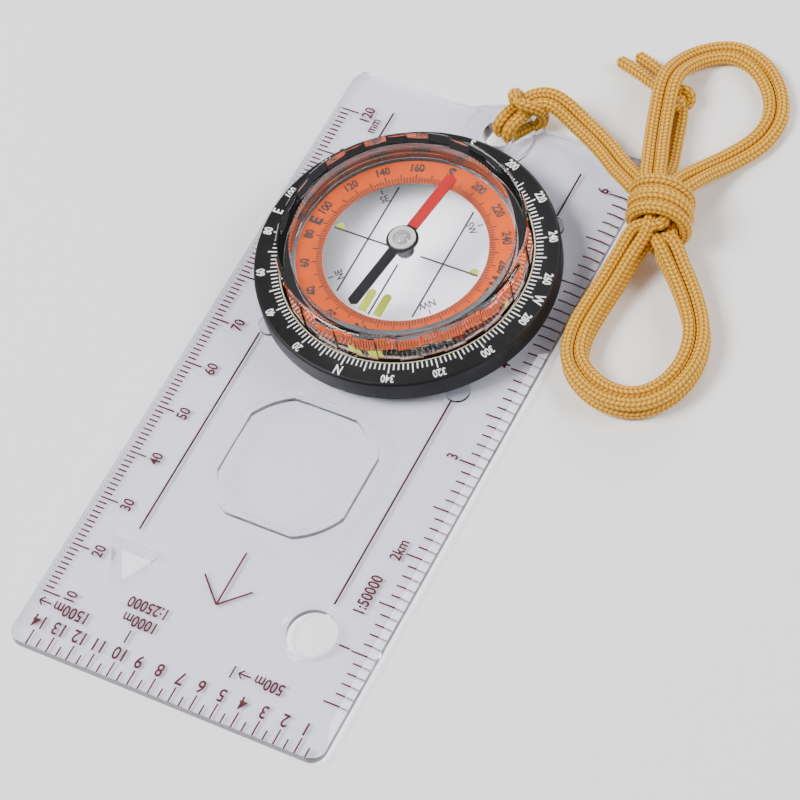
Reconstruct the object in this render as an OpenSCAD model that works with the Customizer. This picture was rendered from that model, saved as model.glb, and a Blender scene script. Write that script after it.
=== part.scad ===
// Baseplate compass with a turning dial, a liquid-filled capsule and a neck cord.
// Origin: middle of the compass's footprint, on the surface that its feet stand on.
// +Z up, +Y towards the cord end, so the direction of travel points along -Y.

/* [Baseplate] */
// Width of the plate across its two long scales
plate_w = 60.5; // [60:0.5:64]
// Length of the plate, without the cord lug
plate_l = 129; // [128:0.5:134]
// Thickness of the clear plate
plate_t = 2; // [1.8:0.1:2.4]
// Height of the non-slip feet below the plate
foot_h = 0.6; // [0.4:0.1:1]
// How far the cord lug reaches beyond the far edge
lug_reach = 2; // [1:0.5:3]
// Radius of the round template hole, at its straight wall
template_r = 4.4; // [3.5:0.1:5]
// Side of the triangular template hole at the plate's face
triangle_top = 11; // [9:0.1:12]
// Side of the triangular template hole at the plate's underside
triangle_side = 5.7; // [4:0.1:7]

/* [Magnifier] */
// Radius of the lens before its four flats are cut
lens_r = 14.6; // [13.8:0.1:15]
// Distance from the lens's middle to each flat
lens_flat = 13.1; // [12:0.1:13.4]
// Height of the lens's dome above the plate
lens_dome = 1.5; // [1:0.1:2]

/* [Dial] */
// Distance of the dial's axis from the plate's middle
dial_offset = 27.5; // [26:0.5:28]
// Outer radius of the black bezel
bezel_r = 27.3; // [27:0.1:28]
// Height of the bezel's face above the plate
bezel_face = 5; // [4.6:0.1:5.6]
// Number of flat facets round the capsule's wall
facets = 36; // [24:2:48]
// Height of the capsule's top above the plate
capsule_top = 11.5; // [11:0.1:13]
// Outer radius of the inner degree ring
ring_outer_r = 19.5; // [19:0.1:19.6]
// Inner radius of the inner degree ring
ring_inner_r = 14.8; // [14:0.1:16]
// Step of the degree scales
degree_step = 2; // [2,5]

/* [Needle] */
// Length of the magnetic needle, tip to tip
needle_l = 31.4; // [26:0.2:34]
// Width of the needle's blade
needle_w = 2; // [1.5:0.1:2.6]
// Direction of the red end at rest, clockwise from the cord end
needle_rest = 8; // [0:1:359]

/* [Cord] */
// Diameter of the braided neck cord
cord_d = 2.4; // [2:0.1:2.4]

/* [Hidden] */

// Heights
plate_z = foot_h;
plate_top = foot_h + plate_t;
ink = 0.05;
// The plate is off centre by half the lug, so that the whole compass is centred
plate_y = -lug_reach / 2;
near_y = plate_y - plate_l / 2;
far_y = plate_y + plate_l / 2;
dial_y = plate_y + dial_offset;

// Plate details
corner_r = 2.6;
bevel_w = 1.4;
bevel_h = 0.8;
lens_y = -17.2;
rim_w = 1.3;
rim_h = 1.1;
template_pos = [17.8, -44.4];
template_bevel = 0.9;
triangle_pos = [-17.8, -44.1];
lug_pos = [1.8, 58.6];
lug_turn = -20;
lug_r = 6.6;
lug_h = 1.4;
eye_r = 2.9;
groove_roof = plate_z + cord_d - 0.35;
bulge_r = 10.5;
bulge_x = 0.5;

// Dial details: a bore in the plate, and a rail that the bezel runs on
dial_bore_r = 21.45;
capsule_r = 21.4;
recess_r = 23;
recess_h = 1;
rail_r = 24.4;
rail_w = 1.2;
rail_h = 0.5;
bezel_z = plate_top + 0.6;
bezel_top = plate_top + bezel_face;
bezel_in = 22.85;
flange_h = 1.2;
lid_low = bezel_z + flange_h;
lid_r = 22.6;
lid_top = plate_top + capsule_top;
lid_t = 1;
facet_r = 22.45;
facet_depth = 0.4;
cavity_r = 19.9;
base_z = plate_z + 0.4;
floor_t = 1;
floor_top = plate_z + 4.4;
ring_t = 0.4;
ring_top = floor_top + ring_t;
wall_top = floor_top + 1;
skirt_in = 19.4;
seal_t = 0.4;
clip_r = 20.8;
clip_h = 0.5;

// Needle details, from the floor of the capsule up
needle_z = lid_top - 3.2;
needle_t = 0.4;
pin_r = 0.5;
pin_foot_r = 1.6;
pin_foot_h = 0.5;
eye_disc_r = 2.9;
cup_r = 2.4;
jewel_r = 1.6;

// Printed scales
tick_w = 0.3;
fine_w = 0.22;
line_w = 0.35;
mm_tick_x = 1.1;
mm_zero_y = near_y + 0.65;
km_zero_y = near_y + 0.85;
bottom_tick_y = near_y + 0.3;
hm_zero_x = plate_w / 2 - 0.85;
guide_x = [-19.6, 18.6];
guide_near = near_y + 27.5;
guide_far = far_y - 6;
guide_gap = 21;
arrow_y = [-34.9, -45.8];
arrow_barb = [4.7, 4.5];

// The cord's routes. Each is the middle of one strand or of a flat pair of strands.
// The hitch is half a girth hitch, from the lead's middle back to the crossing strand,
// in the lug's own frame: its eye is the origin and +y leads over the edge.
strand = cord_d / 2;
side = strand + 0.05;
over = plate_top + lug_h + strand + 0.05;
under = 0.12 + strand;
half_hitch = [
    [side, 4.6, over], [side, 2.8, over + 0.02], [side, 1.5, over - 0.4],
    [side, 0.9, over - 1.5], [side, 0.9, over - 2.5], [side, 1.5, under + 0.35],
    [side + 0.1, 2.8, under], [side + 0.7, 5, under], [side + 1.4, 7.1, under + 0.1],
    [3, 8.2, under + 1.1], [3.05, 8.35, under + 2.5], [2.95, 7.7, under + 4.3],
    [2.3, 6.5, under + 5.9], [1.2, 5.5, under + 6.55], [0, 5.2, under + 6.7]
];
lead_route = [
    [3.4, 63, over], [3.9, 64.4, over + 0.05], [5.3, 66.5, 5.9], [8, 67.6, 6.2], [11.2, 67.2, 5.2],
    [14.4, 66, 4.2], [18, 64.4, 3.9], [21.6, 62.4, 3.9], [25.8, 59.4, 4.4], [30.2, 56.6, 5.6], [31.8, 55.4, 5.9]
];
lower_route = [
    [36, 46.9, 6], [35, 42.5, 4.4], [34.2, 37, 2.7], [33.7, 31, 2.45], [33.7, 25.5, 2.45],
    [35.2, 20.4, 2.45], [39.2, 17, 2.45], [44.4, 15.6, 2.45], [49.4, 16.8, 2.45],
    [52.8, 20.8, 2.45], [54, 26.6, 2.45], [52.8, 32.6, 2.45], [49.2, 38.2, 2.6],
    [44.6, 43, 3.9], [40.6, 46.6, 5.4]
];
upper_route = [
    [33.6, 56.9, 7], [31.6, 61.6, 6.2], [29.6, 66.8, 5.3], [27.6, 73, 5.2], [26.1, 79.4, 5.7],
    [26.1, 85, 3.4], [28.6, 90.2, 1.4], [33, 92.4, 1.25], [38.2, 91.2, 1.25],
    [43, 87.2, 1.25], [45.8, 81.6, 1.25], [45.4, 75.8, 1.25], [42.2, 69.8, 1.5],
    [39.6, 64.4, 3.4], [37.8, 57.8, 6.2]
];
tail_route = [
    [34.2, 55.4, 4.1], [33.4, 58.2, 3.6], [33, 60.8, 2.9], [32, 64.6, 1.4], [30.6, 69.4, 1.25],
    [28.5, 76.4, 1.7]
];
tip_routes = [
    [[26, 79.2, 1.8], [21.4, 81, 1.25], [17.6, 82.4, 1.25], [13.8, 83.4, 1.25]],
    [[27, 80.3, 1.8], [25.2, 82, 1.4], [22.8, 83.4, 1.25], [19.8, 84.6, 1.25], [16.6, 85.6, 1.25]]
];
wrap_pos = [37.2, 52, 6.25];
wrap_turn = 18;
wrap_r = 6.15;
wrap_half = 4.9;
wrap_round = 1.8;
end_knot_pos = [27.9, 78.2, 2.6];
end_knot_r = 2.6;

function unit(v) = v / norm(v);

// The direction of a route at each of its points
function headings(route) = [
    for (i = [0:len(route) - 1])
        unit(route[min(i + 1, len(route) - 1)] - route[max(i - 1, 0)])
];

// A side direction carried along a route without twisting
function carried(heading, start, i = 0) =
    i == len(heading) ? [] :
    let (here = unit(start - (start * heading[i]) * heading[i]))
    concat([here], carried(heading, here, i + 1));

// A side direction that stays level all along a route
function level(heading) = [for (h = heading) unit(cross(h, [0, 0, 1]))];

// A closed tube with eight sides along a route, wide to each side and high up and down.
// With no start direction its wide side lies level.
module swept(route, start, wide, high) {
    n = 8;
    heading = headings(route);
    across = is_undef(start) ? level(heading) : carried(heading, start);
    last = len(route) - 1;
    points = [
        for (i = [0:last]) for (k = [0:n - 1])
            route[i] + wide * cos(360 * (k + 0.5) / n) * across[i]
                + high * sin(360 * (k + 0.5) / n) * cross(heading[i], across[i])
    ];
    walls = [
        for (i = [0:last - 1]) for (k = [0:n - 1])
            [i * n + k, (i + 1) * n + k, (i + 1) * n + (k + 1) % n, i * n + (k + 1) % n]
    ];
    near_end = [for (k = [0:n - 1]) k];
    far_end = [for (k = [n - 1:-1:0]) last * n + k];
    polyhedron(points, concat(walls, [near_end, far_end]), convexity = 6);
}

// A plain ring with its axis on Z
module ring(outer, inner, z, h) {
    translate([0, 0, z])
        rotate_extrude($fn = 96)
            translate([inner, 0]) square([outer - inner, h]);
}

module disc(r, z, h) {
    translate([0, 0, z]) cylinder(h = h, r = r, $fn = 96);
}

module on_dial() {
    translate([0, dial_y, 0]) children();
}

module at_lug() {
    translate([lug_pos[0], lug_pos[1], 0]) rotate([0, 0, lug_turn]) children();
}

module rounded_rectangle(w, l, r) {
    translate([-w / 2 + r, -l / 2]) square([w - 2 * r, l]);
    translate([-w / 2, -l / 2 + r]) square([w, l - 2 * r]);
    for (x = [-1, 1])
        for (y = [-1, 1])
            translate([x * (w / 2 - r), y * (l / 2 - r)]) circle(r, $fn = 48);
}

// A thin bar of ink between two points on the plate's underside
module ink_line(a, b, w) {
    d = b - a;
    translate([a[0], a[1], plate_z - ink])
        rotate([0, 0, atan2(d[1], d[0])])
            translate([0, -w / 2, 0]) cube([norm(d), w, ink]);
}

// Radial ticks every degree_step, long every ten degrees, from the inner radius outwards
module degree_ticks(r, short, long, z) {
    for (a = [0:degree_step:359])
        rotate([0, 0, a])
            translate([-fine_w / 2, -r - (a % 10 == 0 ? long : short), z])
                cube([fine_w, a % 10 == 0 ? long : short, ink]);
}

module lens_outline(inset) {
    intersection() {
        circle(lens_r - inset, $fn = 96);
        square(2 * (lens_flat - inset), center = true);
    }
}

// The long top edges fall away, so that a scale lies close to the map
module edge_bevels() {
    for (side = [-1, 1])
        translate([side * plate_w / 2, near_y - 1, plate_top])
            rotate([-90, 0, 0])
                linear_extrude(height = plate_l + 2)
                    polygon([[0.01 * side, -0.01], [-bevel_w * side, -0.01], [0.01 * side, bevel_h]]);
}

module baseplate_blank() {
    translate([0, 0, plate_z])
        linear_extrude(height = plate_t) {
            translate([0, plate_y]) rounded_rectangle(plate_w, plate_l, corner_r);
            translate([bulge_x, far_y + lug_reach - bulge_r]) circle(bulge_r, $fn = 96);
        }
}

// The pad round the cord's eye, clear of the bezel
module lug_pad() {
    intersection() {
        translate([lug_pos[0], lug_pos[1], plate_z])
            cylinder(h = plate_t + lug_h, r = lug_r, $fn = 64);
        translate([-plate_w / 2, dial_y + bezel_r + 0.5, 0])
            cube([plate_w, far_y + lug_reach - dial_y - bezel_r - 0.5, 10]);
    }
}

module cord_eye() {
    at_lug() {
        translate([0, 0, -1]) cylinder(h = 10, r = eye_r, $fn = 64);
        translate([0, 0, -1])
            linear_extrude(height = groove_roof + 1)
                polygon([[-eye_r, 0], [eye_r, 0], [4.7, 9], [-4.7, 9]]);
    }
}

module magnifier() {
    translate([0, lens_y, plate_top - 0.01]) {
        linear_extrude(height = rim_h + 0.01)
            difference() {
                lens_outline(0);
                lens_outline(rim_w);
            }
        dome_r = (pow(lens_flat, 2) + pow(lens_dome, 2)) / (2 * lens_dome);
        intersection() {
            translate([0, 0, lens_dome - dome_r]) sphere(dome_r, $fn = 200);
            linear_extrude(height = lens_dome + 1) lens_outline(rim_w - 0.01);
        }
    }
}

module template_hole() {
    translate([template_pos[0], template_pos[1], 0]) {
        translate([0, 0, -1]) cylinder(h = 10, r = template_r, $fn = 64);
        translate([0, 0, plate_top - template_bevel])
            cylinder(h = template_bevel + 0.01, r1 = template_r, r2 = template_r + template_bevel, $fn = 64);
    }
}

// A triangle that points along -Y, with walls that lean out from the underside to the face
module triangle_hole() {
    low = triangle_side / (2 * sqrt(3));
    slope = (triangle_top / (2 * sqrt(3)) - low) / plate_t;
    reach = 20;
    translate([triangle_pos[0], triangle_pos[1], plate_z])
        intersection_for(a = [90, 210, 330])
            rotate([0, 0, a])
                rotate([90, 0, 0])
                    linear_extrude(height = 2 * reach, center = true)
                        polygon([
                            [-reach, -1], [low - slope, -1], [low + slope * (plate_t + 1), plate_t + 1],
                            [-reach, plate_t + 1]
                        ]);
}

module baseplate() {
    color("aliceblue")
        difference() {
            union() {
                baseplate_blank();
                lug_pad();
                magnifier();
                on_dial() ring(rail_r + rail_w / 2, rail_r - rail_w / 2, plate_top - 0.01, rail_h + 0.01);
            }
            edge_bevels();
            cord_eye();
            template_hole();
            triangle_hole();
            on_dial() disc(dial_bore_r, -1, 10);
            on_dial() disc(recess_r, -1, plate_z + recess_h + 1);
        }
}

module millimetre_scale_print() {
    color("darkred")
        for (m = [10:120]) {
            long = m % 10 == 0 ? 3.4 : 1.7;
            y = mm_zero_y + m;
            x = -plate_w / 2 + mm_tick_x;
            ink_line([x, y], [x + long, y], tick_w);
        }
}

module map_scale_25000_print() {
    color("darkred")
        for (k = [1:28]) {
            long = k % 2 == 0 ? 3.1 : 2;
            x = hm_zero_x - 2 * k;
            ink_line([x, bottom_tick_y], [x, bottom_tick_y + long], tick_w);
        }
}

module map_scale_50000_print() {
    color("darkred")
        for (k = [5:60]) {
            long = k % 5 == 0 ? 4.4 : 3.1;
            x = plate_w / 2 - 0.5;
            y = km_zero_y + 2 * k;
            ink_line([x - long, y], [x, y], tick_w);
        }
}

module guide_line_print() {
    color("darkred")
        for (x = guide_x) {
            ink_line([x, guide_near], [x, dial_y - guide_gap], line_w);
            ink_line([x, dial_y + guide_gap], [x, guide_far], line_w);
        }
}

module travel_arrow_print() {
    tip = [0, arrow_y[1]];
    color("darkred") {
        ink_line([0, arrow_y[0]], tip, line_w);
        for (side = [-1, 1])
            ink_line(tip + [side * arrow_barb[0], arrow_barb[1]], tip, line_w);
    }
}

module non_slip_feet() {
    foot_r = 2.2;
    from_axis = 26.4;
    color("whitesmoke")
        on_dial()
            for (a = [45:90:315])
                rotate([0, 0, a])
                    translate([from_axis, 0, 0]) cylinder(h = foot_h, r = foot_r, $fn = 48);
}

module lanyard_hitch() {
    other_half = [
        for (i = [len(half_hitch) - 2:-1:0]) [-half_hitch[i][0], half_hitch[i][1], half_hitch[i][2]]
    ];
    color("gold") at_lug() swept(concat(half_hitch, other_half), [1, 0, 0], strand, strand);
}

module lanyard_lead() {
    color("gold") swept(lead_route, [1, -0.3, 0], 2 * strand, strand);
}

module lanyard_wrap() {
    core = wrap_r - wrap_round;
    color("orange")
        translate(wrap_pos)
            rotate([0, 0, wrap_turn])
                rotate([90, 0, 0])
                    rotate_extrude($fn = 64) {
                        translate([0, -wrap_half]) square([core, 2 * wrap_half]);
                        translate([0, -wrap_half + wrap_round])
                            square([wrap_r, 2 * (wrap_half - wrap_round)]);
                        for (end = [-1, 1])
                            translate([core, end * (wrap_half - wrap_round)]) circle(wrap_round, $fn = 32);
                    }
}

module lanyard_lower_loop() {
    color("gold") swept(lower_route, [1, 0, 0], 3.3, 2.4);
}

module lanyard_upper_loop() {
    color("gold") swept(upper_route, undef, 2 * strand, strand);
}

module lanyard_tail() {
    color("gold") swept(tail_route, [1, 0.3, 0], 2 * strand, strand);
}

module lanyard_end_knot() {
    color("orange") translate(end_knot_pos) sphere(end_knot_r, $fn = 48);
}

module lanyard_tips() {
    color("gold") for (route = tip_routes) swept(route, [0.3, 1, 0], strand, strand);
}

// Black ring with a rounded outer edge and an inner flange that carries the capsule
module bezel_ring() {
    edge = 0.5;
    color("black")
        on_dial() {
            ring(bezel_r - edge, bezel_in, bezel_z, bezel_top - bezel_z);
            ring(bezel_r, bezel_r - edge, bezel_z, bezel_top - bezel_z - edge);
            translate([0, 0, bezel_top - edge])
                rotate_extrude($fn = 96) translate([bezel_r - edge, 0]) intersection() {
                    circle(edge, $fn = 32);
                    square(edge);
                }
            ring(bezel_in, capsule_r + 0.25, bezel_z, flange_h);
        }
}

module bezel_scale_print() {
    color("white") on_dial() degree_ticks(bezel_in + 0.15, 1.2, 1.9, bezel_top);
}

// Tray with a raised floor, a skirt that turns in the plate, and pockets for the luminous paint
module capsule_base() {
    color("whitesmoke")
        on_dial()
            difference() {
                union() {
                    ring(clip_r, skirt_in, base_z, clip_h);
                    ring(capsule_r, skirt_in, base_z + clip_h, wall_top - base_z - clip_h);
                    disc(skirt_in + 0.01, floor_top - floor_t, floor_t);
                }
                ring(cavity_r, skirt_in - 0.1, floor_top, wall_top);
                translate([0, 0, floor_top - 2 * ink]) linear_extrude(height = 1) luminous_outline();
            }
}

// Wall with flat grip facets, every second one set back, and a rounded top edge
module lid_shape() {
    round = 1;
    step = 360 / facets;
    intersection() {
        translate([0, 0, bezel_top])
            linear_extrude(height = lid_top - bezel_top)
                polygon([
                    for (i = [0:facets - 1]) for (end = [-0.5, 0.5])
                        (facet_r - (i % 2) * facet_depth) * [cos((i + end) * step), sin((i + end) * step)]
                ]);
        rotate_extrude($fn = 96) {
            square([facet_r + 0.02 - round, lid_top]);
            square([facet_r + 0.02, lid_top - round]);
            translate([facet_r + 0.02 - round, lid_top - round]) circle(round, $fn = 32);
        }
    }
}

module capsule_lid() {
    color("lightcyan")
        on_dial()
            difference() {
                union() {
                    lid_shape();
                    disc(lid_r, lid_low, bezel_top - lid_low);
                }
                disc(cavity_r, lid_low - 1, lid_top - lid_t - lid_low + 1);
                disc(capsule_r + 0.15, lid_low - 1, wall_top + seal_t - lid_low + 1);
            }
}

module capsule_seal() {
    color("black") on_dial() ring(capsule_r, cavity_r + 0.1, wall_top, seal_t);
}

module degree_ring() {
    color("orangered") on_dial() ring(ring_outer_r, ring_inner_r, floor_top, ring_t);
}

module degree_ring_print() {
    color("black") on_dial() degree_ticks(ring_inner_r + 0.1, 1, 1.7, ring_top);
}

// Orienting lines, the east-west line and the four intercardinal marks on the capsule's floor
module meridian_print() {
    spacing = 7.45;
    reach = 12;
    near_hub = 3;
    end_r = 14.3;
    mark_r = 13.4;
    color("black")
        on_dial()
            translate([0, 0, floor_top]) {
                for (x = [-spacing, spacing])
                    translate([x - line_w / 2, -reach, 0]) cube([line_w, 2 * reach, ink]);
                for (a = [0, 90, 180])
                    rotate([0, 0, -a]) translate([near_hub, -line_w / 2, 0])
                        cube([end_r - near_hub, line_w, ink]);
                for (a = [45:90:315])
                    rotate([0, 0, a]) translate([mark_r, -fine_w / 2, 0]) cube([1, fine_w, ink]);
            }
}

// Two bars beside the north line and a dot at east and west
module luminous_outline() {
    r = 0.8;
    for (x = [-1.5, 1.5]) {
        translate([x - r, -14]) square([2 * r, 4]);
        translate([x, -10]) circle(r, $fn = 32);
    }
    for (x = [-13.3, 13.3])
        translate([x, 0.5]) circle(r, $fn = 32);
}

module luminous_marks() {
    color("greenyellow")
        on_dial() translate([0, 0, floor_top - 2 * ink]) linear_extrude(height = 2 * ink) luminous_outline();
}

// The liquid fills the capsule round everything that stands in it
module damping_fluid() {
    gap = 0.05;
    ceiling = lid_top - lid_t - gap;
    sweep_r = needle_l / 2 + 0.6;
    color("azure")
        on_dial()
            difference() {
                union() {
                    disc(ring_inner_r - gap, floor_top + 2 * ink, ceiling - floor_top - 2 * ink);
                    disc(cavity_r - gap, ring_top + 2 * ink, ceiling - ring_top - 2 * ink);
                }
                disc(sweep_r, needle_z - 0.6, 2.4);
                disc(pin_r + gap, floor_top, lid_top - floor_top - 2);
                disc(pin_foot_r + gap, floor_top, pin_foot_h + gap);
            }
}

module pivot_pin() {
    tip = 0.6;
    z = needle_z + needle_t + 0.2;
    color("silver")
        on_dial() {
            disc(pin_foot_r, floor_top, pin_foot_h);
            disc(pin_r, floor_top, z - tip - floor_top);
            translate([0, 0, z - tip]) cylinder(h = tip, r1 = pin_r, r2 = 0.08, $fn = 48);
        }
}

module dial_retaining_ring() {
    color("dimgray") on_dial() ring(recess_r - 0.4, clip_r + 0.05, base_z, clip_h);
}

module at_needle() {
    on_dial() rotate([0, 0, 90 - needle_rest]) translate([0, 0, needle_z]) children();
}

// Outline of the blade, pointing along +X, with cut corners at each tip
module blade(grow) {
    l = needle_l / 2 + grow;
    w = needle_w / 2 + grow;
    polygon([[-l, 0], [-l + 0.6, -w], [l - 0.6, -w], [l, 0], [l - 0.6, w], [-l + 0.6, w]]);
}

module needle_bar() {
    color("black")
        at_needle()
            linear_extrude(height = needle_t)
                difference() {
                    union() {
                        blade(0);
                        circle(eye_disc_r, $fn = 64);
                    }
                    circle(jewel_r - 0.2, $fn = 48);
                }
}

module needle_red_coat() {
    coat = 0.06;
    color("red")
        at_needle()
            difference() {
                translate([0, 0, -coat])
                    linear_extrude(height = needle_t + 2 * coat)
                        intersection() {
                            blade(coat);
                            translate([eye_disc_r + 0.1, -needle_w]) square([needle_l, 2 * needle_w]);
                        }
                linear_extrude(height = needle_t) blade(0);
            }
}

module needle_hub() {
    color("black")
        at_needle()
            difference() {
                union() {
                    disc(eye_disc_r - 0.5, -0.5, 0.5);
                    disc(jewel_r - 0.25, 0, needle_t);
                }
                disc(pin_r + 0.05, -1, needle_t + 2);
            }
}

module bearing_cup() {
    color("silver") at_needle() ring(cup_r, jewel_r + 0.02, needle_t, 0.7);
}

module jewel_bearing() {
    rise = 0.45;
    dome_r = (pow(jewel_r, 2) + pow(rise, 2)) / (2 * rise);
    color("lightcyan")
        at_needle()
            difference() {
                union() {
                    disc(jewel_r, needle_t, 0.6);
                    intersection() {
                        translate([0, 0, needle_t + 0.6 + rise - dome_r]) sphere(dome_r, $fn = 96);
                        disc(jewel_r, needle_t + 0.59, 1);
                    }
                }
                disc(0.35, needle_t - 0.1, 0.35);
            }
}

baseplate();
millimetre_scale_print();
map_scale_25000_print();
map_scale_50000_print();
guide_line_print();
travel_arrow_print();
non_slip_feet();
lanyard_hitch();
lanyard_lead();
lanyard_wrap();
lanyard_lower_loop();
lanyard_upper_loop();
lanyard_tail();
lanyard_end_knot();
lanyard_tips();
bezel_ring();
bezel_scale_print();
capsule_base();
capsule_lid();
capsule_seal();
degree_ring();
degree_ring_print();
meridian_print();
luminous_marks();
damping_fluid();
pivot_pin();
dial_retaining_ring();
needle_bar();
needle_red_coat();
needle_hub();
bearing_cup();
jewel_bearing();
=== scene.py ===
import math

import bmesh
import bpy
import numpy as np
from mathutils import Matrix, Quaternion, Vector


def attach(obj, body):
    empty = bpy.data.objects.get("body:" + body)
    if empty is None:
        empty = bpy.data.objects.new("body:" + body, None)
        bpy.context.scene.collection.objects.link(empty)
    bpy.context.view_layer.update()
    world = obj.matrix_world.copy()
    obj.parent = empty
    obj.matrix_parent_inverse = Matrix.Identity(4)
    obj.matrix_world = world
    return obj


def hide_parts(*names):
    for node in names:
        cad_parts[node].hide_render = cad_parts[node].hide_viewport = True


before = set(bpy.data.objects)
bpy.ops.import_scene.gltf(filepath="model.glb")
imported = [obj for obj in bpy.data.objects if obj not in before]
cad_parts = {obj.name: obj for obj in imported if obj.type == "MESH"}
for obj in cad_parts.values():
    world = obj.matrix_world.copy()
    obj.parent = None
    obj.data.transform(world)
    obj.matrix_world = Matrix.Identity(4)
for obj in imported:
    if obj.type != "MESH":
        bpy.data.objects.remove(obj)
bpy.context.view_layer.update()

# Camera: a long lens a little under 60 cm away, above the near right corner of the plate.
# It aims at the middle of the compass and its cord, and is tipped to one side.
MM = 0.001
camera = bpy.data.objects.new("camera", bpy.data.cameras.new("camera"))
bpy.context.scene.collection.objects.link(camera)
camera.location = Vector((215.5, -243.4, 477.2)) * MM
aim = Vector((9.65, 2.98, 0)) * MM
look = (aim - camera.location).to_track_quat("-Z", "Y")
camera.rotation_euler = (look @ Quaternion((0, 0, 1), math.radians(-15))).to_euler()
camera.data.lens = 149.3
camera.data.sensor_width = 36
camera.data.clip_start = 0.01
bpy.context.scene.camera = camera


# Neck cord: braided polyester, 2.4 mm. It is one length, folded in the middle, girth hitched to the lug,
# hanked into two loops under its own turns and finished with a knot, so it is made as its two halves.
CORD = 2.4
STRAND = CORD / 2
HITCH_SIDE, HITCH_OVER, HITCH_UNDER = 1.25, 5.25, 1.32
half_hitch = [
    (HITCH_SIDE, 4.6, HITCH_OVER), (HITCH_SIDE, 2.8, HITCH_OVER + 0.02), (HITCH_SIDE, 1.5, HITCH_OVER - 0.4),
    (HITCH_SIDE, 0.9, HITCH_OVER - 1.5), (HITCH_SIDE, 0.9, HITCH_OVER - 2.5),
    (HITCH_SIDE, 1.5, HITCH_UNDER + 0.35), (HITCH_SIDE + 0.1, 2.8, HITCH_UNDER),
    (HITCH_SIDE + 0.7, 5, HITCH_UNDER), (HITCH_SIDE + 1.4, 7.1, HITCH_UNDER + 0.1),
    (3, 8.2, HITCH_UNDER + 1.1), (3.05, 8.35, HITCH_UNDER + 2.5), (2.95, 7.7, HITCH_UNDER + 4.3),
    (2.3, 6.5, HITCH_UNDER + 5.9), (1.2, 5.5, HITCH_UNDER + 6.55), (0, 5.2, HITCH_UNDER + 6.7),
]
lead_route = [
    (3.4, 63, 5.25), (3.9, 64.4, 5.3), (5.3, 66.5, 5.9), (8, 67.6, 6.2), (11.2, 67.2, 5.2), (14.4, 66, 4.2),
    (18, 64.4, 3.9), (21.6, 62.4, 3.9), (25.8, 59.4, 4.4), (30.2, 56.6, 5.6), (31.8, 55.4, 5.9),
]
lower_route = [
    (36, 46.9, 6), (35, 42.5, 4.4), (34.2, 37, 2.7), (33.7, 31, 2.45), (33.7, 25.5, 2.45),
    (35.2, 20.4, 2.45), (39.2, 17, 2.45), (44.4, 15.6, 2.45), (49.4, 16.8, 2.45), (52.8, 20.8, 2.45),
    (54, 26.6, 2.45), (52.8, 32.6, 2.45), (49.2, 38.2, 2.6), (44.6, 43, 3.9), (40.6, 46.6, 5.4),
]
upper_route = [
    (33.6, 56.9, 7), (31.6, 61.6, 6.2), (29.6, 66.8, 5.3), (27.6, 73, 5.2), (26.1, 79.4, 5.7),
    (26.1, 85, 3.4), (28.6, 90.2, 1.4), (33, 92.4, 1.25), (38.2, 91.2, 1.25), (43, 87.2, 1.25),
    (45.8, 81.6, 1.25), (45.4, 75.8, 1.25), (42.2, 69.8, 1.5), (39.6, 64.4, 3.4), (37.8, 57.8, 6.2),
]
tail_route = [
    (34.2, 55.4, 4.1), (33.4, 58.2, 3.6), (33, 60.8, 2.9), (32, 64.6, 1.4), (30.6, 69.4, 1.25),
    (28.5, 76.4, 1.7),
]
tip_routes = {
    -1: [(26, 79.2, 1.8), (21.4, 81, 1.25), (17.6, 82.4, 1.25), (13.8, 83.4, 1.25)],
    1: [(27, 80.3, 1.8), (25.2, 82, 1.4), (22.8, 83.4, 1.25), (19.8, 84.6, 1.25), (16.6, 85.6, 1.25)],
}
WRAP_R, WRAP_TURNS, WRAP_START, WRAP_RUN = 6.15, 1.89, -110, 6.2
POINTS_PER_TURN, STRAND_PITCH = 14, 2.44
LUG_X, LUG_Y, LUG_TURN = 1.8, 58.6, math.radians(-20)
KNOT_X, KNOT_Y = 27.9, 78.2
wrap_middle = np.array((37.2, 52, 6.25))
wrap_tilt = math.radians(18)
wrap_axis = np.array((math.sin(wrap_tilt), -math.cos(wrap_tilt), 0))
wrap_side = np.array((math.cos(wrap_tilt), math.sin(wrap_tilt), 0))


def beside(route, shift, lift=0):
    """The route moved sideways in plan and lifted."""
    points = np.array(route, float)
    along = np.gradient(points[:, :2], axis=0)
    along /= np.linalg.norm(along, axis=1)[:, None]
    points[:, :2] += np.stack([-along[:, 1], along[:, 0]], 1) * shift
    points[:, 2] += lift
    return [tuple(p) for p in points]


def through_wrap(x, z, steps):
    """A straight run inside the turns, x and z from their axis."""
    return [tuple(wrap_middle + wrap_axis * s + wrap_side * x + np.array((0, 0, z))) for s in steps]


def at_lug(x, y, z):
    """A point of the hitch, turned and moved to the lug."""
    return (
        LUG_X + x * math.cos(LUG_TURN) - y * math.sin(LUG_TURN),
        LUG_Y + x * math.sin(LUG_TURN) + y * math.cos(LUG_TURN), z)


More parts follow.
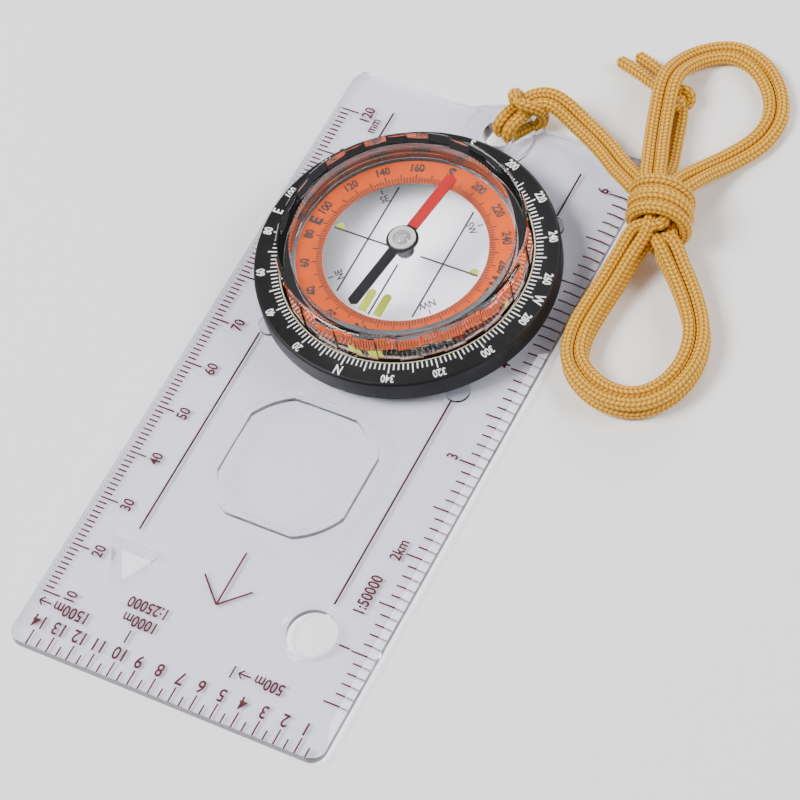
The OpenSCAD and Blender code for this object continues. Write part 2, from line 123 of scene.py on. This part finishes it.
def half_cord(hand):
    """The points of one half, from the hitch's middle to its cut tip. hand is -1 or 1."""
    down, up = (-4, 0, 4), (4, 0, -4)
    slots = {-1: ((-2.4, 0), (1.2, -2.1), (-1.2, 2.1)), 1: ((-1.2, -2.1), (2.4, 0), (1.2, 2.1))}[hand]
    turns = []
    steps = int(WRAP_TURNS * POINTS_PER_TURN)
    for i in range(steps + 1):
        angle = math.radians(WRAP_START + i / steps * WRAP_TURNS * 360)
        along = WRAP_RUN / 2 - i / steps * WRAP_RUN + hand * STRAND_PITCH / 2
        reach = WRAP_R - STRAND
        turns.append(tuple(
            wrap_middle + wrap_axis * along + wrap_side * reach * math.cos(angle)
            + np.array((0, 0, reach * math.sin(angle)))))
    return (
        [at_lug(hand * x, y, z) for x, y, z in reversed(half_hitch)]
        + beside(lead_route, -hand * STRAND)
        + through_wrap(*slots[0], down)
        + beside(lower_route, -hand * STRAND, -STRAND)
        + through_wrap(*slots[1], up)
        + beside(upper_route, -hand * STRAND)[::-1]
        + through_wrap(*slots[2], down)
        + beside(lower_route, -hand * STRAND, STRAND)
        + turns
        + beside(tail_route, -hand * STRAND)
        + [(KNOT_X + hand * 0.6, KNOT_Y + 0.2, 2.4)]
        + tip_routes[hand]
    )


def smooth_line(points, step):
    """A rounded line through the points, at even steps, in mm."""
    least_gap, fine, reach_mm, blur = 0.3, 40, 3.2, 1.1
    p = np.array(points, float)
    p = p[[0] + [i for i in range(1, len(p)) if np.linalg.norm(p[i] - p[i - 1]) > least_gap]]
    p = np.vstack([2 * p[0] - p[1], p, 2 * p[-1] - p[-2]])
    line = []
    for a, b, c, d in zip(p, p[1:], p[2:], p[3:]):
        t1 = np.linalg.norm(b - a) ** 0.5
        t2 = t1 + np.linalg.norm(c - b) ** 0.5
        t3 = t2 + np.linalg.norm(d - c) ** 0.5
        for t in np.linspace(t1, t2, fine, endpoint=False):
            a1 = (t1 - t) / t1 * a + t / t1 * b
            a2 = (t2 - t) / (t2 - t1) * b + (t - t1) / (t2 - t1) * c
            a3 = (t3 - t) / (t3 - t2) * c + (t - t2) / (t3 - t2) * d
            b1 = (t2 - t) / t2 * a1 + t / t2 * a2
            b2 = (t3 - t) / (t3 - t1) * a2 + (t - t1) / (t3 - t1) * a3
            line.append((t2 - t) / (t2 - t1) * b1 + (t - t1) / (t2 - t1) * b2)
    line.append(p[-2])
    line = np.array(line)
    run = np.r_[0, np.cumsum(np.linalg.norm(np.diff(line, axis=0), axis=1))]
    even = np.linspace(0, run[-1], int(run[-1] / step) + 1)
    line = np.stack([np.interp(even, run, line[:, k]) for k in range(3)], 1)
    reach = int(reach_mm / step)
    weight = np.exp(-0.5 * (np.arange(-reach, reach + 1) * step / blur) ** 2)
    weight /= weight.sum()
    ends = np.vstack([2 * line[0] - line[reach:0:-1], line, 2 * line[-1] - line[-2:-reach - 2:-1]])
    return np.stack([np.convolve(ends[:, k], weight, "valid") for k in range(3)], 1)


# The braid: columns of slanted stitches that meet in V shapes along the cord.
COLUMNS, STITCH, SLANT, RELIEF = 8, 0.85, 0.62, 0.1
TIP_ROUND, TIP_SHARE = 0.5, 0.55


def braided(name, line, around=32, radius=STRAND):
    """A closed tube along the line with the braid's relief in its mesh and in its UV map."""
    count = len(line)
    heading = np.gradient(line, axis=0)
    heading /= np.linalg.norm(heading, axis=1)[:, None]
    side = np.cross(heading[0], (0, 0, 1.0))
    sides = []
    for h in heading:
        side = side - (side @ h) * h
        side /= np.linalg.norm(side)
        sides.append(side)
    sides = np.array(sides)
    lifts = np.cross(heading, sides)
    run = np.r_[0, np.cumsum(np.linalg.norm(np.diff(line, axis=0), axis=1))]
    u = np.arange(around) / around
    column = u * COLUMNS
    zigzag = 1 - np.abs(column % 2 - 1)
    phase = run[:, None] / STITCH + SLANT * zigzag[None, :]
    height = np.sqrt(
        np.abs(np.sin(np.pi * (column % 1)))[None, :] * np.abs(np.sin(np.pi * (phase % 1))) + 1e-9)
    close = np.clip(np.minimum(run, run[-1] - run) / TIP_ROUND, TIP_SHARE, 1)
    r = (radius - RELIEF + RELIEF * height) * close[:, None]
    angle = 2 * np.pi * u
    points = (line[:, None] + r[..., None] * (np.cos(angle)[None, :, None] * sides[:, None]
              + np.sin(angle)[None, :, None] * lifts[:, None])).reshape(-1, 3) * MM
    ring, k = np.meshgrid(np.arange(count - 1), np.arange(around), indexing="ij")
    nxt = (k + 1) % around
    quads = np.stack([ring * around + k, ring * around + nxt, (ring + 1) * around + nxt,
                      (ring + 1) * around + k], -1).reshape(-1, 4)
    mesh = bpy.data.meshes.new(name)
    caps = [list(range(around - 1, -1, -1)), list(range((count - 1) * around, count * around))]
    mesh.from_pydata(points.tolist(), [], quads.tolist() + caps)
    uv = mesh.uv_layers.new(name="braid")
    corner_u = np.stack([k, k + 1, k + 1, k], -1).reshape(-1) / around
    corner_v = run[np.stack([ring, ring, ring + 1, ring + 1], -1).reshape(-1)]
    cap_uv = (0.06, 0.3)
    flat = np.vstack([np.stack([corner_u, corner_v], 1), np.tile(cap_uv, (2 * around, 1))])
    uv.data.foreach_set("uv", flat.astype(np.float32).ravel())
    mesh.polygons.foreach_set("use_smooth", [True] * len(mesh.polygons))
    bm = bmesh.new()
    bm.from_mesh(mesh)
    bmesh.ops.recalc_face_normals(bm, faces=bm.faces)
    bm.to_mesh(mesh)
    bm.free()
    piece = bpy.data.objects.new(name, mesh)
    bpy.context.scene.collection.objects.link(piece)
    return piece


def colour(code):
    """An sRGB hex colour as linear RGBA."""
    channels = [int(code[i:i + 2], 16) / 255 for i in (1, 3, 5)]
    return tuple(c / 12.92 if c <= 0.04045 else ((c + 0.055) / 1.055) ** 2.4 for c in channels) + (1,)


def add(tree, kind, settings=None, **links):
    """A node with its attributes, socket values or colour stops set and its inputs linked."""
    node = tree.nodes.new(kind)
    for key, value in (settings or {}).items():
        if key == "stops":
            elements = node.color_ramp.elements
            for element, (position, code) in zip((elements[0], elements[-1]), (value[0], value[-1])):
                element.position, element.color = position, colour(code)
            for position, code in value[1:-1]:
                elements.new(position).color = colour(code)
        elif isinstance(key, str) and hasattr(node, key):
            setattr(node, key, value)
        else:
            node.inputs[key].default_value = value
    for key, source in links.items():
        socket = int(key[1:]) if key[0] == "i" and key[1:].isdigit() else key.replace("_", " ")
        tree.links.new(source, node.inputs[socket])
    return node


def new_material(name, base="#808080", roughness=0.5, metallic=0.0, **sockets):
    """A material with its node tree and its shader, whose sockets hold the plain numbers."""
    material = bpy.data.materials.new(name)
    material.use_nodes = True
    shader = material.node_tree.nodes["Principled BSDF"]
    shader.inputs["Base Color"].default_value = colour(base)
    shader.inputs["Roughness"].default_value = roughness
    shader.inputs["Metallic"].default_value = metallic
    for key, value in sockets.items():
        shader.inputs[key.replace("_", " ")].default_value = value
    return material, material.node_tree, shader


def grain(tree, shader, scale, strength, distance, detail=3, tones=None):
    """A fine surface unevenness, and with tones a base colour that varies with it.
    scale is in grains per metre, distance in metres."""
    place = add(tree, "ShaderNodeTexCoord").outputs["Object"]
    noise = add(tree, "ShaderNodeTexNoise", {"Scale": scale, "Detail": detail}, Vector=place)
    bump = add(
        tree, "ShaderNodeBump", {"Strength": strength, "Distance": distance}, Height=noise.outputs["Fac"])
    tree.links.new(bump.outputs["Normal"], shader.inputs["Normal"])
    if tones:
        mottled = add(tree, "ShaderNodeValToRGB", {"stops": tones}, Fac=noise.outputs["Fac"])
        tree.links.new(mottled.outputs["Color"], shader.inputs["Base Color"])


# The cord's look: golden yellow stitches, painted dark orange-brown in the gaps between them as shade and
# pale yellow on their crowns as highlight, and a soft sheen from the filaments.
cord_material, tree, shader = new_material(
    "braided_polyester_cord", roughness=0.62, Sheen_Weight=0.08, Sheen_Roughness=0.4)
braid_map = add(tree, "ShaderNodeUVMap", {"uv_map": "braid"}).outputs["UV"]
across, along, _ = add(tree, "ShaderNodeSeparateXYZ", Vector=braid_map).outputs
column = add(tree, "ShaderNodeMath", {"operation": "MULTIPLY", 1: float(COLUMNS)}, i0=across).outputs[0]
zigzag = add(tree, "ShaderNodeMath", {"operation": "PINGPONG", 1: 1.0}, i0=column).outputs[0]
rows = add(tree, "ShaderNodeMath", {"operation": "MULTIPLY", 1: 1 / STITCH}, i0=along).outputs[0]
phase = add(tree, "ShaderNodeMath", {"operation": "MULTIPLY_ADD", 1: SLANT}, i0=zigzag, i2=rows).outputs[0]
waves = []
for value in (column, phase):
    turned = add(tree, "ShaderNodeMath", {"operation": "MULTIPLY", 1: math.pi}, i0=value).outputs[0]
    sine = add(tree, "ShaderNodeMath", {"operation": "SINE"}, i0=turned).outputs[0]
    waves.append(add(tree, "ShaderNodeMath", {"operation": "ABSOLUTE"}, i0=sine).outputs[0])
product = add(tree, "ShaderNodeMath", {"operation": "MULTIPLY"}, i0=waves[0], i1=waves[1]).outputs[0]
stitch = add(tree, "ShaderNodeMath", {"operation": "POWER", 1: 0.5}, i0=product).outputs[0]
# The colour follows the stitch height: the dark end in the gaps is painted shade, and the pale end on the
# crowns is a painted highlight.
yellows_painted_shade_and_highlight = [(0.0, "#743000"), (0.3, "#B06A00"), (0.7, "#DCA000"), (1.0, "#F2C200")]
shade = add(tree, "ShaderNodeValToRGB", {"stops": yellows_painted_shade_and_highlight}, Fac=stitch)
tree.links.new(shade.outputs["Color"], shader.inputs["Base Color"])
bump = add(tree, "ShaderNodeBump", {"Strength": 0.7, "Distance": 0.00018}, Height=stitch)
tree.links.new(bump.outputs["Normal"], shader.inputs["Normal"])

cord_halves = {}
for hand, name in ((-1, "cord_half_left"), (1, "cord_half_right")):
    line = smooth_line(half_cord(hand), 0.18)
    half = braided(name, line)
    half.data.materials.append(cord_material)
    cord_halves[hand] = (half, line)

# The end knot: an overhand knot in both strands of the same cord, drawn tight.
# It stands on the table just before the two cut ends.
KNOT_Z, KNOT_REACH, KNOT_RISE, KNOT_POINTS = 2.55, 0.92, 1.1, 48
knot_turns = []
for i in range(KNOT_POINTS):
    t = i / KNOT_POINTS * math.tau
    knot_turns.append((
        KNOT_X + KNOT_REACH * (math.sin(t) + 2 * math.sin(2 * t)),
        KNOT_Y + KNOT_REACH * (math.cos(t) - 2 * math.cos(2 * t)),
        KNOT_Z - KNOT_RISE * math.sin(3 * t)))
knot_turns.append(knot_turns[0])
end_knot = braided("end_knot", smooth_line(knot_turns, 0.2), around=24, radius=1.15)
end_knot.data.materials.append(cord_material)

for half, _ in cord_halves.values():
    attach(half, "compass_base")
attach(end_knot, "compass_base")
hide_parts("lanyard_hitch", "lanyard_lead", "lanyard_wrap", "lanyard_lower_loop")
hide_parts("lanyard_upper_loop", "lanyard_tail", "lanyard_tips")
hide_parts("lanyard_end_knot")


# Baseplate: injection-moulded clear PMMA, polished, with a faint cool tint and the slight waviness of a
# moulding. Its edges are softened a little, as they leave the mould.
def clear_material(name, tint, ior, roughness, wave=0.0, bounces=99.0):
    """A clear moulding or liquid. Lamps shine through it, less where a wall stands steep to them.
    Light that has bounced about inside it more than so many times leaves it straight."""
    material, tree, shader = new_material(name, tint, roughness, Transmission_Weight=1.0, IOR=ior)
    if wave:
        grain(tree, shader, 55, wave, 0.0004, 1)
    out = tree.nodes["Material Output"]
    path = add(tree, "ShaderNodeLightPath")
    depth, shadow = path.outputs["Ray Depth"], path.outputs["Is Shadow Ray"]
    deep = add(tree, "ShaderNodeMath", {"operation": "GREATER_THAN", 1: bounces}, i0=depth).outputs[0]
    straight = add(tree, "ShaderNodeMath", {"operation": "MAXIMUM"}, i0=deep, i1=shadow)
    steep = add(tree, "ShaderNodeLayerWeight", {"Blend": 0.5}).outputs["Facing"]
    tints = [(0.0, tint), (0.55, tint), (1.0, "#4A4A50")]
    passed = add(tree, "ShaderNodeValToRGB", {"stops": tints}, Fac=steep)
    clear = add(tree, "ShaderNodeBsdfTransparent", Color=passed.outputs["Color"]).outputs[0]
    mixed = add(tree, "ShaderNodeMixShader", i0=straight.outputs[0], i1=shader.outputs[0], i2=clear)
    tree.links.new(mixed.outputs[0], out.inputs["Surface"])
    return material


def finish_node(name, material):
    """Gives a CAD node its material."""
    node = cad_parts[name]
    node.data.materials.clear()
    node.data.materials.append(material)


EDGE, SHARP_TURN, FLAT_TURN = 0.14, math.radians(28), math.radians(0.1)
bm = bmesh.new()
bm.from_mesh(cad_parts["baseplate"].data)
bmesh.ops.remove_doubles(bm, verts=bm.verts, dist=1e-6)
bmesh.ops.dissolve_limit(bm, angle_limit=FLAT_TURN, verts=bm.verts, edges=bm.edges)
sharp = [e for e in bm.edges if len(e.link_faces) == 2 and e.calc_face_angle() > SHARP_TURN]
bmesh.ops.bevel(
    bm, geom=sharp, offset=EDGE * MM, segments=2, profile=0.5, affect="EDGES", material=-1,
    clamp_overlap=True)
plate_mesh = bpy.data.meshes.new("moulded_plate")
bm.to_mesh(plate_mesh)
bm.free()
plate_mesh.polygons.foreach_set("use_smooth", [True] * len(plate_mesh.polygons))
plate = bpy.data.objects.new("moulded_plate", plate_mesh)
bpy.context.scene.collection.objects.link(plate)
plate_mesh.materials.append(clear_material("moulded_pmma", "#DBDBE1", 1.49, 0.0, 0.05, 5.0))
weighted = plate.modifiers.new("weighted", "WEIGHTED_NORMAL")
weighted.keep_sharp = True
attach(plate, "compass_base")
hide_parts("baseplate")


# Scales: screen-printed dark red ink on the underside of the plate, a twentieth of a millimetre thick.
# The figures are read from the edge that they belong to.
INK_LOW, INK, LINE_W = 0.55, 0.045, 0.3
scale_ink, tree, shader = new_material("screen_print_ink_dark_red", "#6B0F14", 0.45)
grain(tree, shader, 2600, 0.25, 0.00003, tones=[(0.35, "#4E0004"), (0.65, "#66060A")])


def bar(bm, x0, y0, x1, y1, width, low, high):
    """A straight ink line between two points in plan, in mm."""
    made = bmesh.ops.create_cube(bm, size=1)["verts"]
    length = math.hypot(x1 - x0, y1 - y0)
    bmesh.ops.scale(bm, verts=made, vec=(length * MM, width * MM, (high - low) * MM))
    turn = Matrix.Rotation(math.atan2(y1 - y0, x1 - x0), 3, "Z")
    bmesh.ops.rotate(bm, verts=made, cent=(0, 0, 0), matrix=turn)
    bmesh.ops.translate(
        bm, verts=made, vec=((x0 + x1) / 2 * MM, (y0 + y1) / 2 * MM, (low + high) / 2 * MM))


def lettering(bm, text, x, y, height, turn, low, high, squeeze=0.82, weight=0.018):
    """Generic figures or letters centred on a point, turned in plan by degrees."""
    curve = bpy.data.curves.new("lettering", "FONT")
    curve.body = text
    curve.align_x, curve.align_y = "CENTER", "CENTER"
    curve.size = 1
    curve.offset = weight
    curve.resolution_u = 3
    curve.extrude = 0.5
    holder = bpy.data.objects.new("lettering", curve)
    bpy.context.scene.collection.objects.link(holder)
    bpy.context.view_layer.update()
    mesh = bpy.data.meshes.new_from_object(holder)
    bpy.data.objects.remove(holder)
    cap = 0.73
    spans = [[v.co[k] for v in mesh.vertices] for k in (0, 1)]
    middle = [(min(span) + max(span)) / 2 for span in spans]
    mesh.transform(
        Matrix.Translation((x * MM, y * MM, (low + high) / 2 * MM))
        @ Matrix.Rotation(math.radians(turn), 4, "Z")
        @ Matrix.Diagonal((height / cap * squeeze * MM, height / cap * MM, (high - low) * MM, 1))
        @ Matrix.Translation((-middle[0], -middle[1], 0)))
    bm.from_mesh(mesh)
    bpy.data.meshes.remove(mesh)


def printed(name, bm, material, body, slot, *nodes):
    """The finished mesh as a piece on a body, in place of any CAD nodes named."""
    bmesh.ops.remove_doubles(bm, verts=bm.verts, dist=1e-7)
    bmesh.ops.recalc_face_normals(bm, faces=bm.faces)
    mesh = bpy.data.meshes.new(name)
    bm.to_mesh(mesh)
    bm.free()
    piece = bpy.data.objects.new(name, mesh)
    bpy.context.scene.collection.objects.link(piece)
    mesh.materials.append(material)
    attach(piece, body)
    if nodes:
        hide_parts(*nodes)
    return piece


ink = (INK_LOW, INK_LOW + INK)
LEFT_X, MM_ZERO_Y = -29.15, -64.85
bm = bmesh.new()
for m in range(10, 121):
    y = MM_ZERO_Y + m
    bar(bm, LEFT_X, y, LEFT_X + (3.4 if m % 10 == 0 else 1.7), y, LINE_W, *ink)
    if m % 10 == 0:
        lettering(bm, str(m), -24, y + (0.8 if m == 10 else 0.3), 2.1, 90, *ink)
lettering(bm, "mm", -21.6, 53.5, 1.9, 90, *ink)
printed("millimetre_scale", bm, scale_ink, "compass_base", "scale_ink", "millimetre_scale_print")

NEAR_Y, HM_ZERO_X = -65.2, 29.4
bm = bmesh.new()
for k in range(1, 29):
    x = HM_ZERO_X - 2 * k
    bar(bm, x, NEAR_Y, x, NEAR_Y + (3.1 if k % 2 == 0 else 2), LINE_W, *ink)
    if k % 2 == 0:
        lettering(bm, str(k // 2), x - 0.15, -60.45, 2.5, 180, *ink)
lettering(bm, "1500m", -22.5, -56.9, 2.3, 180, *ink)
lettering(bm, "1000m", -10.5, -54, 2.2, 180, *ink)
lettering(bm, "1:25000", -10.6, -50.9, 2.2, 180, *ink)
lettering(bm, "500m", 15.7, -55.8, 2.2, 180, *ink)
for x, y in ((-28.7, -56.7), (9.9, -55.7)):
    bar(bm, x, y, x + 2.3, y, LINE_W, *ink)
    for side in (-1, 1):
        bar(bm, x, y, x + 0.8, y + side * 0.8, LINE_W, *ink)
bar(bm, -11, -55.8, -11, -58.3, LINE_W, *ink)
bar(bm, 8.8, -54.7, 8.8, -57.1, LINE_W, *ink)
printed("map_scale_25000", bm, scale_ink, "compass_base", "scale_ink", "map_scale_25000_print")

RIGHT_X, KM_ZERO_Y = 29.75, -64.65
bm = bmesh.new()
for k in range(5, 61):
    y = KM_ZERO_Y + 2 * k
    bar(bm, RIGHT_X - (4.4 if k % 5 == 0 else 3.1), y, RIGHT_X, y, LINE_W, *ink)
for n, text in enumerate(("1", "2km", "3", "4", "5", "6"), 1):
    lettering(bm, text, 23.9, KM_ZERO_Y + 20 * n + 0.2, 2.1, 90, *ink)
lettering(bm, "1:50000", 23, -34, 2.2, 90, *ink)
printed("map_scale_50000", bm, scale_ink, "compass_base", "scale_ink", "map_scale_50000_print")
for name in ("guide_line_print", "travel_arrow_print"):
    finish_node(name, scale_ink)

# Non-slip feet: four clear silicone discs, a little cloudy.
# They are stuck under the plate round the dial.
finish_node("non_slip_feet", clear_material("clear_silicone_rubber", "#F8F9F9", 1.41, 0.05, 0.05))


# Bezel: moulded black ABS with a fine texture, and degree ticks and figures pad-printed in white.
# It turns with the capsule inside it.
bezel_abs, tree, shader = new_material("moulded_black_abs", "#0A0A0B", 0.48, Specular_IOR_Level=0.3)
grain(tree, shader, 3800, 0.35, 0.00004, tones=[(0.3, "#070708"), (0.7, "#101012")])
finish_node("bezel_ring", bezel_abs)
white_ink, tree, shader = new_material("pad_print_ink_white", "#F1F1EC", 0.5)
grain(tree, shader, 3000, 0.2, 0.00002, tones=[(0.3, "#E6E6E0"), (0.6, "#F6F6F2")])
finish_node("bezel_scale_print", white_ink)

DIAL_Y = 26.5
marks = {0: "N", 90: "E", 180: "S", 270: "W"}
bearings = sorted(set(range(0, 360, 20)) | set(marks))


def round_dial(bm, bearing, text, radius, height, low, high, *shape):
    """Lettering that stands on a bearing of the dial and reads from outside it."""
    a = math.radians(bearing)
    x, y = -radius * math.sin(a), DIAL_Y - radius * math.cos(a)
    lettering(bm, text, x, y, height, 180 - bearing, low, high, *shape)


BEZEL_FIGURES_R = 26
bm = bmesh.new()
for bearing in bearings:
    height = 1.9 if bearing in marks else 1.55
    round_dial(bm, bearing, marks.get(bearing, str(bearing)), BEZEL_FIGURES_R, height, 7.602, 7.65, 0.75)
printed("bezel_figures", bm, white_ink, "dial", "white_ink")


# Capsule: injection-moulded clear PMMA tray and lid, with a nitrile seal squeezed between them.
# They are pressed and glued into the bezel.
capsule_clear = clear_material("moulded_pmma_capsule", "#FAFAFB", 1.49, 0.005)
finish_node("capsule_base", capsule_clear)
finish_node("capsule_lid", capsule_clear)


def turned(profile, closed):
    """A shape turned round the dial's axis from a profile of (radius, height) points in mm."""
    bm = bmesh.new()
    ring = [bm.verts.new((r * MM, DIAL_Y * MM, z * MM)) for r, z in profile]
    edges = [bm.edges.new(pair) for pair in zip(ring, ring[1:] + (ring[:1] if closed else []))]
    bmesh.ops.spin(
        bm, geom=ring + edges, cent=(0, DIAL_Y * MM, 0), axis=(0, 0, 1), angle=math.tau, steps=160,
        use_merge=True)
    return bm


# A cream bead of adhesive fills the gap between the lid's foot and the bezel.
BEAD_IN, BEAD_OUT, BEAD_LOW, BEAD_TOP = 22.63, 22.82, 4.5, 7.5
bm = turned([(BEAD_IN, BEAD_LOW), (BEAD_OUT, BEAD_LOW), (BEAD_OUT, BEAD_TOP), (BEAD_IN, BEAD_TOP)], True)
adhesive, tree, shader = new_material("cured_epoxy_adhesive", "#C8BB92", 0.5)
grain(tree, shader, 1800, 0.3, 0.00004, tones=[(0.3, "#BBAE84"), (0.7, "#D3C8A2")])
printed("adhesive_bead", bm, adhesive, "dial", "capsule_acrylic")
seal_rubber, tree, shader = new_material("nitrile_rubber_seal", "#0C0C0D", 0.7)
grain(tree, shader, 4000, 0.3, 0.00003)
finish_node("capsule_seal", seal_rubber)

# Degree ring: moulded orange ABS, satin, that lies on the capsule's floor.
# Its ticks and figures, and the lines on the floor, are pad-printed in black.
orange_abs, tree, shader = new_material("moulded_orange_abs", "#B44200", 0.5, Specular_IOR_Level=0.1)
grain(tree, shader, 2600, 0.2, 0.00003, tones=[(0.3, "#AC3E00"), (0.7, "#BC4800")])
finish_node("degree_ring", orange_abs)
black_ink, tree, shader = new_material("pad_print_ink_black", "#111112", 0.5)
grain(tree, shader, 3000, 0.2, 0.00002, tones=[(0.3, "#0D0D0E"), (0.7, "#1B1B1C")])
finish_node("degree_ring_print", black_ink)
finish_node("meridian_print", black_ink)
RING_FIGURES_R, FLOOR_LETTERS_R = 17.95, 12.3
bm = bmesh.new()
for bearing in bearings:
    height, squeeze, weight = (2.3, 0.9, 0.045) if bearing in marks else (1.65, 0.82, 0.035)
    text = marks.get(bearing, str(bearing))
    round_dial(bm, bearing, text, RING_FIGURES_R, height, 5.402, 5.45, squeeze, weight)
for bearing, text in ((45, "NE"), (135, "SE"), (225, "SW"), (315, "NW")):
    round_dial(bm, bearing, text, FLOOR_LETTERS_R, 1.45, 5.002, 5.05, 0.85)
printed("dial_figures", bm, black_ink, "dial", "black_ink")

# Luminous marks: matt yellow-green phosphorescent paint.
# It fills shallow pockets in the capsule's floor.
luminous, tree, shader = new_material("phosphorescent_paint", "#C9D32E", 0.75)
grain(tree, shader, 5200, 0.4, 0.00005, tones=[(0.3, "#8E9C18"), (0.7, "#A4B024")])
finish_node("luminous_marks", luminous)

# Damping liquid: clear light oil that fills the capsule.
# It wets every wall, so its skin lies a hair inside the plastic.
SKIN = 0.05
FLUID_R, FLUID_LOW, FLUID_TOP = 19.9 + SKIN, 5 - SKIN, 13.1 + SKIN
bm = turned([(0, FLUID_LOW), (FLUID_R, FLUID_LOW), (FLUID_R, FLUID_TOP), (0, FLUID_TOP)], False)
fluid = printed(
    "damping_oil", bm, clear_material("clear_damping_oil", "#FCFCFD", 1.45, 0.0), "dial", "clear_fluid",
    "damping_fluid")
for face in fluid.data.polygons:
    face.use_smooth = abs(face.normal.z) < 0.5

# Pivot pin and clip ring: a turned stainless steel pin pressed into the capsule's floor, and a ring of grey
# acetal that snaps on from below and holds the dial in the plate.
pin_steel, tree, shader = new_material("turned_stainless_steel", "#B9BABD", 0.25, 1.0)
grain(tree, shader, 6000, 0.2, 0.00002)
finish_node("pivot_pin", pin_steel)
clip_acetal, tree, shader = new_material("moulded_grey_acetal", "#8C8E90", 0.45)
grain(tree, shader, 3000, 0.3, 0.00004)
finish_node("dial_retaining_ring", clip_acetal)

# Needle: a stamped steel strip dipped in black enamel, one half in red, on a black hub.
# A nickel-plated cup holds the sapphire jewel that turns on the pin.
for name, material_name, low, high in (
        ("needle_bar", "dipped_black_enamel", "#050505", "#0C0C0D"),
        ("needle_red_coat", "dipped_red_enamel", "#8A0608", "#9E0C0E")):
    enamel, tree, shader = new_material(material_name, high, 0.35, Specular_IOR_Level=0.2)
    grain(tree, shader, 1500, 0.25, 0.00004, tones=[(0.3, low), (0.7, high)])
    finish_node(name, enamel)
finish_node("needle_hub", bezel_abs)
cup_metal, tree, shader = new_material("polished_nickel_plate", "#F0EEE8", 0.38, 1.0)
grain(tree, shader, 3500, 0.12, 0.00003)
finish_node("bearing_cup", cup_metal)
jewel, tree, shader = new_material(
    "polished_sapphire_jewel", "#F2F4EF", 0.08, IOR=1.77, Transmission_Weight=0.75)
grain(tree, shader, 2500, 0.1, 0.00002)
finish_node("jewel_bearing", jewel)


# Stage: a plain pale table, just under the compass, and soft studio light.
# The light comes from one large window and two fills, with a little from all round.
TABLE_HALF, TABLE_Z = 3, -0.00005
bm = bmesh.new()
bmesh.ops.create_grid(bm, x_segments=1, y_segments=1, size=TABLE_HALF)
floor_mesh = bpy.data.meshes.new("table_top")
bm.to_mesh(floor_mesh)
bm.free()
floor_mesh.transform(Matrix.Translation((0, 0, TABLE_Z)))
floor = bpy.data.objects.new("table_top", floor_mesh)
bpy.context.scene.collection.objects.link(floor)
floor_mesh.materials.append(new_material("matt_white_table", "#FCFCFC", 0.85)[0])

world = bpy.data.worlds.new("studio")
bpy.context.scene.world = world
world.use_nodes = True
world.node_tree.nodes["Background"].inputs["Color"].default_value = colour("#FBFBFF")
world.node_tree.nodes["Background"].inputs["Strength"].default_value = 0.3
for name, place, size, power in (
        ("key", (-0.6, -0.35, 0.95), 0.5, 19), ("side", (0.85, 0.35, 0.65), 0.5, 9),
        ("back", (-0.15, 1.1, 0.5), 0.5, 6)):
    lamp = bpy.data.lights.new(name, "AREA")
    lamp.size = size
    lamp.energy = power
    holder = bpy.data.objects.new(name, lamp)
    holder.location = place
    holder.rotation_euler = (Vector((0, 0.02, 0)) - Vector(place)).to_track_quat("-Z", "Y").to_euler()
    bpy.context.scene.collection.objects.link(holder)
